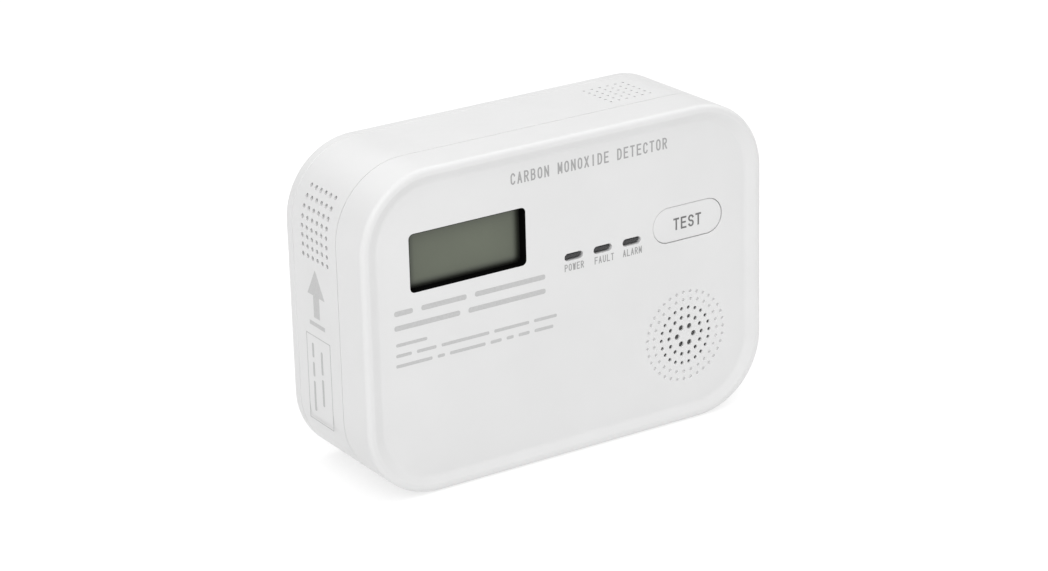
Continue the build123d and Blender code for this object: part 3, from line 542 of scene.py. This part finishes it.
# ---------------------------------------------------------------- light guides
for node_name, x in zip(("light_guide_power", "light_guide_fault", "light_guide_alarm"), LED_X):
    g_loops = [ring(5.1, 1.5, 5, x, LED_Z, 11.5, 10), ring(5.1, 1.5, 5, x, LED_Z, 8.0, 10), ring(5.6, 2.0, 5, x, LED_Z, 8.0, 10),
               ring(5.6, 2.0, 5, x, LED_Z, 5.0, 10), ring(5.1, 1.5, 5, x, LED_Z, 5.0, 10), ring(5.1, 1.5, 5, x, LED_Z, 2.3, 10)]
    for k in range(1, 6):
        a = math.radians(90.0 * k / 5)
        g_loops.append(ring(5.1 - 0.8 * (1 - math.cos(a)), 1.5 - 0.8 * (1 - math.cos(a)), 5, x, LED_Z, 2.3 - 0.4 * math.sin(a), 10))
    guide = stack("lens_" + node_name[12:], g_loops, mat_clear, 35.0)
    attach(guide, "case")
    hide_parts(node_name)

# ---------------------------------------------------------------- printing
def arc(cx, cy, rx, ry, a0, a1, n=8):
    return [(cx + rx * math.cos(math.radians(a0 + (a1 - a0) * k / n)), cy + ry * math.sin(math.radians(a0 + (a1 - a0) * k / n)))
            for k in range(n + 1)]


# Plain gothic capitals as pen strokes in a cell one wide and one high.
GLYPHS = {
    "A": [[(0, 0), (0.5, 1)], [(0.5, 1), (1, 0)], [(0.16, 0.33), (0.84, 0.33)]],
    "B": [[(0, 0), (0, 1)], [(0, 1), (0.55, 1)] + arc(0.55, 0.76, 0.37, 0.24, 80, -80) + [(0.55, 0.52), (0, 0.52)],
          [(0.5, 0.52), (0.55, 0.52)] + arc(0.55, 0.26, 0.45, 0.26, 80, -80) + [(0.55, 0), (0, 0)]],
    "C": [arc(0.5, 0.7, 0.5, 0.3, 20, 180) + arc(0.5, 0.3, 0.5, 0.3, 180, 340)],
    "D": [[(0, 0), (0, 1)], [(0, 1), (0.4, 1)] + arc(0.4, 0.62, 0.6, 0.38, 80, 0) + arc(0.4, 0.38, 0.6, 0.38, 0, -80) + [(0.4, 0), (0, 0)]],
    "E": [[(1, 1), (0, 1), (0, 0), (1, 0)], [(0, 0.52), (0.86, 0.52)]],
    "F": [[(1, 1), (0, 1), (0, 0)], [(0, 0.52), (0.84, 0.52)]],
    "I": [[(0.5, 0), (0.5, 1)]],
    "L": [[(0, 1), (0, 0), (1, 0)]],
    "M": [[(0, 0), (0, 1)], [(1, 0), (1, 1)], [(0, 0.97), (0.5, 0.25)], [(1, 0.97), (0.5, 0.25)]],
    "N": [[(0, 0), (0, 1)], [(1, 0), (1, 1)], [(0, 0.98), (1, 0.02)]],
    "O": [arc(0.5, 0.68, 0.5, 0.32, 0, 180, 12) + arc(0.5, 0.32, 0.5, 0.32, 180, 360, 12) + [(1, 0.6)]],
    "P": [[(0, 0), (0, 1)], [(0, 1), (0.5, 1)] + arc(0.5, 0.74, 0.5, 0.26, 80, -80) + [(0.5, 0.48), (0, 0.48)]],
    "R": [[(0, 0), (0, 1)], [(0, 1), (0.5, 1)] + arc(0.5, 0.75, 0.48, 0.25, 80, -80) + [(0.5, 0.5), (0, 0.5)], [(0.45, 0.5), (1, 0)]],
    "S": [arc(0.5, 0.75, 0.5, 0.25, 20, 180) + arc(0.5, 0.75, 0.5, 0.25, 180, 250)[1:] + arc(0.5, 0.25, 0.5, 0.25, 70, 0)
          + arc(0.5, 0.25, 0.5, 0.25, 0, -160)[1:]],
    "T": [[(0, 1), (1, 1)], [(0.5, 1), (0.5, 0)]],
    "U": [[(0, 1)] + arc(0.5, 0.32, 0.5, 0.32, 180, 360) + [(1, 1)]],
    "W": [[(0, 1), (0.25, 0)], [(0.25, 0), (0.5, 0.85)], [(0.5, 0.85), (0.75, 0)], [(0.75, 0), (1, 1)]],
    "X": [[(0, 0), (1, 1)], [(0, 1), (1, 0)]],
}


def ribbon(pts, half):
    """Outline of a pen stroke of constant width, mitred at its corners."""
    pts = [Vector(p) for p in pts]
    left, right = [], []
    for k, p in enumerate(pts):
        a = (p - pts[k - 1]).normalized() if k else (pts[1] - p).normalized()
        b = (pts[k + 1] - p).normalized() if k < len(pts) - 1 else a
        q = p - b * half if k == 0 else (p + a * half if k == len(pts) - 1 else p)
        na, nb = Vector((-a.y, a.x)), Vector((-b.y, b.x))
        m = (na + nb).normalized()
        d = half / max(0.5, m.dot(na))
        left.append(q + m * d)
        right.append(q - m * d)
    return left, right


def strokes_mesh(name, glyph_strokes, d, half, thick):
    """Closed prisms, one for each stroke."""
    bm = bmesh.new()
    for pts in glyph_strokes:
        left, right = ribbon(pts, half)
        rows = [([bm.verts.new(P(p.x, d - off, p.y)) for p in left], [bm.verts.new(P(p.x, d - off, p.y)) for p in right])
                for off in (-thick, thick)]
        (bl, br), (tl, tr) = rows
        for k in range(len(left) - 1):
            bm.faces.new((tl[k], tr[k], tr[k + 1], tl[k + 1]))
            bm.faces.new((br[k], bl[k], bl[k + 1], br[k + 1]))
            bm.faces.new((tl[k], tl[k + 1], bl[k + 1], bl[k]))
            bm.faces.new((tr[k], br[k], br[k + 1], tr[k + 1]))
        bm.faces.new((tl[0], bl[0], br[0], tr[0]))
        bm.faces.new((tl[-1], tr[-1], br[-1], bl[-1]))
    bmesh.ops.recalc_face_normals(bm, faces=bm.faces)
    me = bpy.data.meshes.new(name)
    bm.to_mesh(me)
    bm.free()
    o = bpy.data.objects.new(name, me)
    scene.collection.objects.link(o)
    return o


def lettering(name, text, x0, x1, z0, z1, d, material, body, pen=0.36, fill=0.68, thick=0.03):
    """Printed capitals of constant stroke between two corners on the surface at depth d, each letter one outline."""
    cell = (x1 - x0) / (len(text) - 1 + fill)
    half = pen / 2
    layers = {}
    for i, ch in enumerate(text):
        if ch == " ":
            continue
        w = cell * fill - pen
        gx = x0 + i * cell + half
        for s_no, stroke in enumerate(GLYPHS[ch]):
            layers.setdefault(s_no, []).append([(gx + u * w, z0 + half + v * (z1 - z0 - pen)) for u, v in stroke])
    o = strokes_mesh(name, layers[0], d, half, thick)
    for s_no in sorted(layers)[1:]:
        extra = strokes_mesh(name + "_add", layers[s_no], d, half, thick)
        m = o.modifiers.new("join", "BOOLEAN")
        m.operation, m.solver, m.object = "UNION", "EXACT", extra
        m.use_self = True
        bake(o)
        bpy.data.objects.remove(extra, do_unlink=True)
    o.data.materials.clear()
    o.data.materials.append(material)
    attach(o, body)
    return o


lettering("print_title", "CARBON MONOXIDE DETECTOR", -16.2, 31.0, 32.85, 35.85, PANEL_D, mat_ink_title, "case", pen=0.40, fill=0.70)
lettering("print_power", "POWER", -0.8, 5.0, 6.6, 8.5, PANEL_D, mat_ink_small, "case", pen=0.24, fill=0.74)
lettering("print_fault", "FAULT", 8.3, 14.2, 6.6, 8.5, PANEL_D, mat_ink_small, "case", pen=0.24, fill=0.72)
lettering("print_alarm", "ALARM", 17.0, 22.8, 6.6, 8.5, PANEL_D, mat_ink_small, "case", pen=0.24, fill=0.74)
lettering("print_test", "TEST", 32.72, 41.42, 10.4, 13.62, 1.12, mat_ink_test, "button", pen=0.46, fill=0.76)


def bars(name, rows, material, place, thick=0.03, body="case"):
    """Plain rounded bars in place of lines of text. rows: (start, end, middle, height) along and across."""
    bm = bmesh.new()
    for a0, a1, mid, hh in rows:
        r = hh * 0.42
        pts = []
        for sx, sz, ang in ((1, 1, 0), (-1, 1, 90), (-1, -1, 180), (1, -1, 270)):
            ox, oz = (a0 + a1) / 2 + sx * ((a1 - a0) / 2 - r), mid + sz * (hh / 2 - r)
            for k in range(7):
                t = math.radians(ang + 90.0 * k / 6)
                pts.append((ox + r * math.cos(t), oz + r * math.sin(t)))
        add_stack(bm, [[place(u, v, -thick) for u, v in pts], [place(u, v, thick) for u, v in pts]])
    o = finish_mesh(bm, name, material, 30.0, False)
    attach(o, body)
    return o


def words(x0, x1, z, h, spans, total):
    u = (x1 - x0) / total
    return [(x0 + a * u, x0 + b * u - 0.25 * u, z, h) for a, b in spans]


def on_panel(u, v, out):
    return P(u, PANEL_D + out, v)


rows = words(-50.8, -6.2, 6.75, 1.35, ((0, 3), (4, 11), (12, 23)), 23)
rows += words(-50.9, -6.2, 2.95, 1.35, ((0, 10), (11, 23)), 23)
bars("print_legend", rows, mat_ink_legend, on_panel)
rows = words(-50.6, -41.4, -1.5, 0.85, ((0, 8),), 8)
rows += words(-50.7, -3.2, -4.3, 0.85, ((0, 4), (5, 10), (11, 23), (24, 33), (34, 40)), 40)
rows += words(-50.8, -4.3, -7.0, 0.85, ((0, 9), (10, 12), (13, 22), (23, 26), (27, 29), (30, 33), (34, 39)), 39)
bars("print_notice", rows, mat_ink_legend, on_panel)


def on_side(d, z, out):
    return P(-(W / 2 - DRAFT * d / D) + out, d, z)


def frame_bars(name, d0, d1, z0, z1, t):
    bm = bmesh.new()
    for a0, a1, b0, b1 in ((d0, d1, z0, z0 + t), (d0, d1, z1 - t, z1), (d0, d0 + t, z0 + t, z1 - t), (d1 - t, d1, z0 + t, z1 - t)):
        pts = [(a0, b0), (a1, b0), (a1, b1), (a0, b1)]
        add_stack(bm, [[on_side(u, v, -0.03) for u, v in pts], [on_side(u, v, 0.03) for u, v in pts]])
    o = finish_mesh(bm, name, mat_ink_side, 30.0, False)
    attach(o, "case")
    return o


frame_bars("print_side_frame", 18.0, 30.2, -27.7, -4.5, 0.22)


def side_mark(name, shapes):
    """Plain solid shapes printed on the left side; points are (depth, height)."""
    bm = bmesh.new()
    for pts in shapes:
        add_stack(bm, [[on_side(u, v, -0.03) for u, v in pts], [on_side(u, v, 0.03) for u, v in pts]])
    o = finish_mesh(bm, name, mat_ink_mark, 30.0, False)
    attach(o, "case")
    return o


side_mark("print_this_way_up", [
    [(19.8, 6.4), (24.1, 13.4), (28.4, 6.4), (25.6, 6.4), (25.6, 0.6), (22.6, 0.6), (22.6, 6.4)],
    [(20.2, -0.7), (28.0, -0.7), (28.0, -1.8), (20.2, -1.8)],
])


def column(d, z_top, z_bottom, spans, total, h):
    u = (z_top - z_bottom) / total
    return [(z_top - b * u + 0.2 * u, z_top - a * u, d, h) for a, b in spans]


rows = column(22.6, -7.9, -22.8, ((0, 6), (7, 14)), 14, 0.9)
rows += column(27.0, -6.7, -25.3, ((0, 4), (5, 9), (10, 18)), 18, 0.9)
bars("print_side_label", rows, mat_ink_side, lambda z, d, out: on_side(d, z, out))

# ---------------------------------------------------------------- finishes of the carried-over nodes
def cell_facts(node_name, sign):
    lo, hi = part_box(node_name)
    return (lo[0] + hi[0]) / 2 / MM, sign


metal_steel = metal("steel_zinc", (0.62, 0.62, 0.64))
metal_can = metal("steel_can", (0.70, 0.70, 0.71), stretch=(30, 1, 1))
metal_brass = metal("brass_sheet", (0.80, 0.62, 0.30), stretch=(1, 1, 8))
metal_nickel = metal("nickel_plate", (0.66, 0.64, 0.60))
metal_foil = metal("foil", (0.75, 0.77, 0.72), rough=(0.4, 0.5))
finishes = {
    "rear_case": mat_rear, "mounting_plate": mat_plate, "battery_door": mat_door, "test_button": mat_button,
    "front_cover": mat_front,
    "lcd_bezel": mat_black, "lcd_front_glass": mat_glass, "light_shroud": mat_shroud,
    "lcd_rear_glass": clear("rear_glass", (0.85, 0.88, 0.84)), "lcd_reflector": metal_foil,
    "lcd_holder": moulded("holder_white", (0.72, 0.72, 0.70)), "lcd_connectors": moulded("elastomer_grey", (0.16, 0.16, 0.17), rough=(0.7, 0.8)),
    "light_guide_power": mat_clear, "light_guide_fault": mat_clear, "light_guide_alarm": mat_clear,
    "led_power": moulded("led_cream", (0.75, 0.75, 0.60), rough=(0.2, 0.3)),
    "led_fault": moulded("led_cream_b", (0.75, 0.75, 0.60), rough=(0.2, 0.3)),
    "led_alarm": moulded("led_cream_c", (0.75, 0.75, 0.60), rough=(0.2, 0.3)),
    "grille_cloth": mat_cloth_grille, "side_dust_screen": mat_cloth, "top_dust_screen": mat_cloth,
    "sounder_gasket": moulded("foam_dark", (0.03, 0.03, 0.03), rough=(0.85, 0.95), grain=1500.0, depth=0.0001),
    "sounder_housing": moulded("sounder_black", (0.02, 0.02, 0.02)), "piezo_disc": metal_brass,
    "piezo_ceramic": metal("ceramic_silver", (0.8, 0.8, 0.78), rough=(0.35, 0.5)),
    "sounder_leads": moulded("pvc_black", (0.02, 0.02, 0.02), rough=(0.3, 0.4)),
    "main_board": board("board_green"), "board_screws": metal_steel, "case_screws": metal_steel,
    "microcontroller": moulded("chip_black", (0.015, 0.015, 0.015), rough=(0.5, 0.6)), "crystal": metal_can,
    "boost_coil": moulded("coil_ferrite", (0.10, 0.05, 0.03), rough=(0.3, 0.5), grain=900.0, depth=0.0001),
    "reservoir_capacitor": moulded("capacitor_sleeve", (0.02, 0.03, 0.09), rough=(0.2, 0.3)),
    "chip_components": moulded("chip_brown", (0.2, 0.14, 0.09)), "co_sensor_body": moulded("sensor_ivory", (0.66, 0.65, 0.60)),
    "co_sensor_cap": metal_can, "co_sensor_pins": metal_brass,
    "contact_plates": metal_nickel, "contact_springs": metal_nickel,
    "battery_lead_red": moulded("pvc_red", (0.45, 0.02, 0.02), rough=(0.3, 0.4)),
    "battery_lead_black": moulded("pvc_black_b", (0.02, 0.02, 0.02), rough=(0.3, 0.4)),
    "switch_body": moulded("switch_black", (0.02, 0.02, 0.02)), "switch_plunger": moulded("plunger_red", (0.42, 0.08, 0.06)),
    "battery_cell_top": cell("cell_sleeve", *cell_facts("battery_cell_top", 1)),
    "battery_cell_middle": cell("cell_sleeve_b", *cell_facts("battery_cell_middle", -1)),
    "battery_cell_bottom": cell("cell_sleeve_c", *cell_facts("battery_cell_bottom", 1)),
}
for name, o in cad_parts.items():
    m = finishes[name]
    if not o.material_slots:
        o.data.materials.append(m)
    for s in o.material_slots:
        s.material = m
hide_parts("test_button")

# ---------------------------------------------------------------- floor, world and light
bm = bmesh.new()
S = 6.0
corners = [bm.verts.new((x, y, -0.0002)) for x, y in ((-S, -S), (S, -S), (S, S), (-S, S))]
bm.faces.new(corners)
me = bpy.data.meshes.new("floor")
bm.to_mesh(me)
bm.free()
floor = bpy.data.objects.new("floor", me)
scene.collection.objects.link(floor)
fm, ft, fb, fc = start("floor_pale")
fn = noise(ft, fc, 6.0, 2.0)
fr = ramp(ft, fn.outputs["Fac"], ((0.0, (0.425, 0.425, 0.425)), (1.0, (0.435, 0.435, 0.435))))
ft.links.new(fr.outputs["Color"], fb.inputs["Base Color"])
fb.inputs["Roughness"].default_value = 0.9
fb.inputs["Specular IOR Level"].default_value = 0.05
fb.inputs["Emission Color"].default_value = (1.0, 1.0, 1.0, 1.0)
fb.inputs["Emission Strength"].default_value = 0.576
me.materials.append(fm)

world = bpy.data.worlds.new("studio")
scene.world = world
world.use_nodes = True
bg = world.node_tree.nodes["Background"]
bg.inputs["Color"].default_value = (1.0, 1.0, 1.0, 1.0)
bg.inputs["Strength"].default_value = 0.473


def sun(name, toward, power, angle):
    """Large soft source: toward is the direction of the light as seen from the object."""
    l = bpy.data.lights.new(name, "SUN")
    l.energy = power
    l.angle = math.radians(angle)
    o = bpy.data.objects.new(name, l)
    scene.collection.objects.link(o)
    o.rotation_euler = Vector(toward).to_track_quat("Z", "Y").to_euler()
    return o


def panel_light(name, toward, distance, size, power):
    """Round diffuser facing the object from the given side."""
    l = bpy.data.lights.new(name, "AREA")
    l.shape = "DISK"
    l.size = size
    l.energy = power
    o = bpy.data.objects.new(name, l)
    scene.collection.objects.link(o)
    v = Vector(toward).normalized()
    o.location = Vector((0.0, 0.0, MID * MM)) + v * distance
    o.rotation_euler = v.to_track_quat("Z", "Y").to_euler()
    o.visible_camera = False
    return o


panel_light("softbox", (-0.5, -0.5, 0.7), 0.9, 1.0, 3.69)
sun("key", (-0.5, -0.5, 0.7), 0.51, 60.0)
sun("back", (0.0, 0.6, 0.8), 0.68, 60.0)
sun("side", (0.7, 0.0, 0.7), 1.03, 60.0)
sun("front", (0.0, -0.94, 0.34), 0.17, 60.0)
sun("top", (0.0, 0.0, 1.0), 0.14, 60.0)
